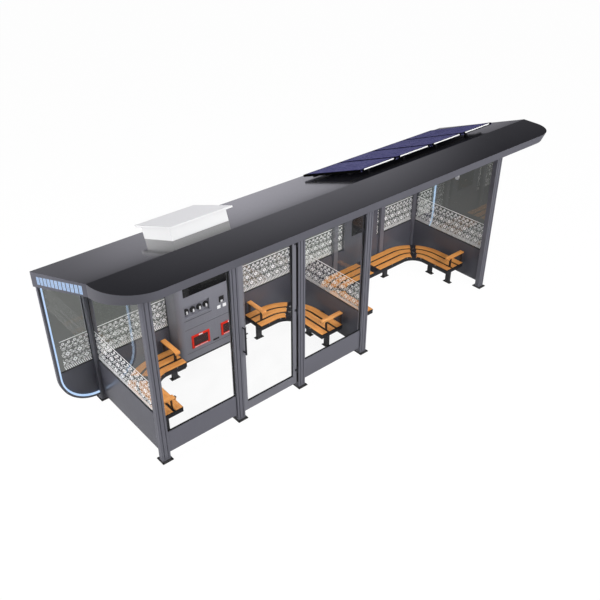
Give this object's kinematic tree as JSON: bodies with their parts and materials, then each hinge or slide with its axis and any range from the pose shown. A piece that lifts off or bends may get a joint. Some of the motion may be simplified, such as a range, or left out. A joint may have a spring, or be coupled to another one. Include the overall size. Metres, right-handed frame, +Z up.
{
  "type": "bus shelter",
  "caption": "Glazed bus shelter: a closed waiting room with a hinged door and corner benches beside an open seating bay, under one creased overhanging roof.",
  "frame": {"origin": "on the ground under the middle of the roof's plan", "axes": "+X along the shelter towards its open bay, +Y from the kerb side to the back wall, +Z up"},
  "size_m": [8.29, 2.432, 3.1546],
  "materials": {
    "post_paint": "satin, fine metallic powder coat",
    "roof_paint": "satin front, glossy rear slope",
    "panel_paint": "semi-gloss powder coat",
    "rim_paint": "satin powder coat",
    "glass": "clear toughened glass",
    "etched_glass": "clear glass with a white lace band on its lower part",
    "light_lens": "opal lens, softly lit",
    "door_metal": "satin powder coat",
    "steel_trim": "brushed",
    "kiosk_paint": "semi-gloss powder coat",
    "screen_black": "glossy, blank",
    "red_paint": "semi-gloss",
    "wood": "oiled hardwood, satin",
    "bench_steel": "satin dark powder coat",
    "unit_white": "semi-gloss",
    "solar_glass": "glass-fronted cells",
    "rack_metal": "dark anodised"
  },
  "bodies": {
    "shelter": {"arm_brackets": "bench_steel", "armrests": "wood", "back_beam": "post_paint", "back_glass": "etched_glass", "back_mullions": "post_paint", "back_panels": "panel_paint", "back_post_1": "post_paint", "back_post_2": "post_paint", "back_post_3": "post_paint", "base_plates": "bench_steel", "bay_frame": "bench_steel", "bay_slats": "wood", "bench_legs": "bench_steel", "bench_plates": "bench_steel", "camera": "unit_white", "cross_glass": "etched_glass", "cross_panels": "panel_paint", "cross_rails": "post_paint", "door_hinges": "steel_trim", "front_beam": "post_paint", "front_glass": "glass", "front_panels": "panel_paint", "front_post_1": "post_paint", "front_post_2": "post_paint", "front_post_3": "post_paint", "front_post_4": "post_paint", "front_post_5": "post_paint", "info_panel": "panel_paint", "kiosk_body": "kiosk_paint", "kiosk_feet": "bench_steel", "kiosk_hatches": "red_paint", "light_strips": "light_lens", "roof_cover": "roof_paint", "roof_soffit": "roof_paint", "roof_unit": "unit_white", "roof_unit_lid": "unit_white", "room_left_frame": "bench_steel", "room_left_slats": "wood", "room_right_frame": "bench_steel", "room_right_slats": "wood", "screens": "screen_black", "seat_plates": "bench_steel", "solar_panels": "solar_glass", "solar_rack": "rack_metal", "wing_rims": "rim_paint"},
    "door": {"door_frame": "door_metal", "door_glass": "glass", "door_handle": "bench_steel", "door_knuckles": "steel_trim"}
  },
  "joints": [
    {"name": "door_hinge", "type": "hinge", "parent": "shelter", "child": "door", "pos_m": [-1.0945, -0.6575, 1.467], "axis": [0, 0, 1], "range_deg": [0, 90]}
  ]
}
